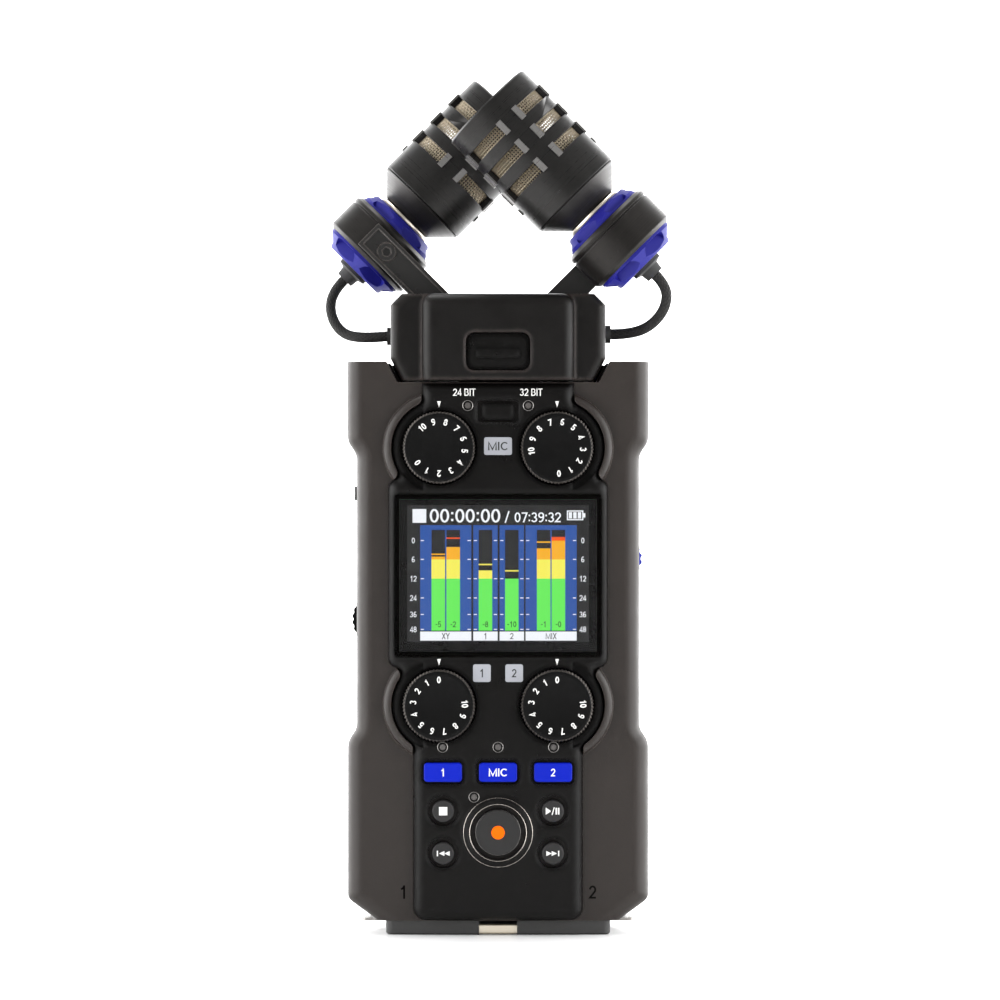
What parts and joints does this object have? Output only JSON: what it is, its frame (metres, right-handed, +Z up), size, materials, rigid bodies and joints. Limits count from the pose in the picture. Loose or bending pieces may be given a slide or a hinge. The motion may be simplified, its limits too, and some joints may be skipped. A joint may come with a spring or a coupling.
{
  "type": "portable field recorder",
  "caption": "Upright handheld audio recorder with a colour level display, dial knobs, transport keys, foot-facing combination sockets and a lift-off crossed stereo microphone module.",
  "frame": {"origin": "centre of the foot, on the face that the recorder stands on", "axes": "+X to the right of the display, -Y out of the display, +Z up the long side towards the microphones"},
  "size_m": [0.0896, 0.0547, 0.2204],
  "materials": {
    "casing": "soft-touch matt, warm black",
    "face": "fine satin black",
    "glass": "polished window",
    "display": "colour liquid crystal panel",
    "knob": "satin black with a knurled rim",
    "blue_key": "satin blue",
    "black_key": "matt dark grey",
    "light_pipe": "clear, smoked",
    "lamp": "orange",
    "board": "green solder mask",
    "steel": "bare",
    "brass": "turned",
    "plate": "nickel plated",
    "black_metal": "black anodised, fine turning lines",
    "mesh": "woven wire cloth",
    "elastomer": "blue moulded elastomer",
    "braid": "black braided sleeve",
    "black_rubber": "matt black",
    "cell": "printed sleeve",
    "blue_wheel": "satin blue, serrated"
  },
  "bodies": {
    "recorder": {"front_casing": "casing", "rear_casing": "casing", "faceplate": "face", "display_glass": "glass", "lcd_module": "display", "light_pipes": "light_pipe", "tact_switches": "black_key", "rotary_controls": "steel", "main_board": "board", "battery_tray": "black_key", "battery_cells": "cell", "battery_contacts": "plate", "card_socket": "steel", "audio_jacks": "black_key", "data_port": "steel", "foot_panel": "black_key", "strap_bar": "plate", "combo_sockets": "black_key", "tripod_bush": "brass", "speaker": "black_rubber", "casing_screws": "steel", "dock_socket": "black_key"},
    "mic_module": {"module_front": "casing", "module_rear": "casing", "module_plug": "black_key", "module_board": "board", "collars": "black_metal", "arms": "black_metal", "shock_mounts": "elastomer", "barrels": "black_metal", "mesh_sleeves": "mesh", "nose_grilles": "black_metal", "capsules": "brass", "mic_tails": "black_metal", "module_screws": "steel", "lead_glands": "black_rubber", "lead_left": "braid", "lead_right": "braid"},
    "release_button": {"release_button": "black_key"},
    "input_knob_1": {"input_knob_1": "knob"},
    "input_knob_2": {"input_knob_2": "knob"},
    "mic_knob_left": {"mic_knob_left": "knob"},
    "mic_knob_right": {"mic_knob_right": "knob"},
    "track_1_key": {"track_1_key": "blue_key"},
    "mic_key": {"mic_key": "blue_key"},
    "track_2_key": {"track_2_key": "blue_key"},
    "mode_key": {"mode_key": "black_key"},
    "stop_key": {"stop_key": "black_key"},
    "play_key": {"play_key": "black_key"},
    "rewind_key": {"rewind_key": "black_key"},
    "forward_key": {"forward_key": "black_key"},
    "selector_wheel": {"selector_wheel": "blue_wheel"},
    "volume_wheel": {"volume_wheel": "black_key"},
    "power_switch": {"power_switch": "black_key"},
    "battery_door": {"battery_door": "casing"},
    "card_door": {"card_door": "black_rubber"},
    "release_tab_1": {"release_tab_1": "plate"},
    "release_tab_2": {"release_tab_2": "plate"},
    "record_key": {"record_key": "black_key", "record_lamp": "lamp"}
  },
  "joints": [
    {"name": "module_lift", "type": "slide", "parent": "recorder", "child": "mic_module", "axis": [0, 0, 1], "range_m": [0, 0.025]},
    {"name": "release_press", "type": "slide", "parent": "mic_module", "child": "release_button", "axis": [0, 1, 0], "range_m": [0, 0.001], "stiffness_N_per_m": 60},
    {"name": "input_knob_1_turn", "type": "hinge", "parent": "recorder", "child": "input_knob_1", "pos_m": [-0.015, -0.021, 0.0586], "axis": [0, 1, 0], "range_deg": [0, 275]},
    {"name": "input_knob_2_turn", "type": "hinge", "parent": "recorder", "child": "input_knob_2", "pos_m": [0.015, -0.021, 0.0586], "axis": [0, 1, 0], "range_deg": [0, 275]},
    {"name": "mic_knob_left_turn", "type": "hinge", "parent": "recorder", "child": "mic_knob_left", "pos_m": [-0.015, -0.021, 0.1241], "axis": [0, 1, 0], "range_deg": [-234, 40]},
    {"name": "mic_knob_right_turn", "type": "hinge", "parent": "recorder", "child": "mic_knob_right", "pos_m": [0.015, -0.021, 0.1241], "axis": [0, 1, 0], "range_deg": [-176, 98]},
    {"name": "track_1_key_press", "type": "slide", "parent": "recorder", "child": "track_1_key", "axis": [0, 1, 0], "range_m": [0, 0.0005], "stiffness_N_per_m": 60},
    {"name": "mic_key_press", "type": "slide", "parent": "recorder", "child": "mic_key", "axis": [0, 1, 0], "range_m": [0, 0.0005], "stiffness_N_per_m": 60},
    {"name": "track_2_key_press", "type": "slide", "parent": "recorder", "child": "track_2_key", "axis": [0, 1, 0], "range_m": [0, 0.0005], "stiffness_N_per_m": 60},
    {"name": "stop_key_press", "type": "slide", "parent": "recorder", "child": "stop_key", "axis": [0, 1, 0], "range_m": [0, 0.0005], "stiffness_N_per_m": 60},
    {"name": "play_key_press", "type": "slide", "parent": "recorder", "child": "play_key", "axis": [0, 1, 0], "range_m": [0, 0.0005], "stiffness_N_per_m": 60},
    {"name": "rewind_key_press", "type": "slide", "parent": "recorder", "child": "rewind_key", "axis": [0, 1, 0], "range_m": [0, 0.0005], "stiffness_N_per_m": 60},
    {"name": "forward_key_press", "type": "slide", "parent": "recorder", "child": "forward_key", "axis": [0, 1, 0], "range_m": [0, 0.0005], "stiffness_N_per_m": 60},
    {"name": "record_key_press", "type": "slide", "parent": "recorder", "child": "record_key", "axis": [0, 1, 0], "range_m": [0, 0.0005], "stiffness_N_per_m": 60},
    {"name": "mode_key_press", "type": "slide", "parent": "recorder", "child": "mode_key", "axis": [0, 1, 0], "range_m": [0, 0.0005], "stiffness_N_per_m": 60},
    {"name": "selector_turn", "type": "hinge", "parent": "recorder", "child": "selector_wheel", "pos_m": [0.031, -0.0062, 0.0957], "axis": [0, 1, 0], "continuous": true},
    {"name": "volume_turn", "type": "hinge", "parent": "recorder", "child": "volume_wheel", "pos_m": [-0.029, -0.0062, 0.0802], "axis": [0, 1, 0], "range_deg": [-135, 135]},
    {"name": "power_slide", "type": "slide", "parent": "recorder", "child": "power_switch", "axis": [0, 0, 1], "range_m": [-0.002, 0.002], "stiffness_N_per_m": 60},
    {"name": "battery_door_swing", "type": "hinge", "parent": "recorder", "child": "battery_door", "pos_m": [0, 0.0183, 0.1184], "axis": [1, 0, 0], "range_deg": [0, 90]},
    {"name": "card_door_swing", "type": "hinge", "parent": "recorder", "child": "card_door", "pos_m": [0.0352, -0.0022, 0.0718], "axis": [0, 0, 1], "range_deg": [0, 90]},
    {"name": "release_tab_1_press", "type": "hinge", "parent": "recorder", "child": "release_tab_1", "pos_m": [-0.0271, 0, 0.00275], "axis": [0, 1, 0], "range_deg": [0, 8], "stiffness_Nm_per_rad": 0.004},
    {"name": "release_tab_2_press", "type": "hinge", "parent": "recorder", "child": "release_tab_2", "pos_m": [0.0271, 0, 0.00275], "axis": [0, -1, 0], "range_deg": [0, 8], "stiffness_Nm_per_rad": 0.004}
  ]
}
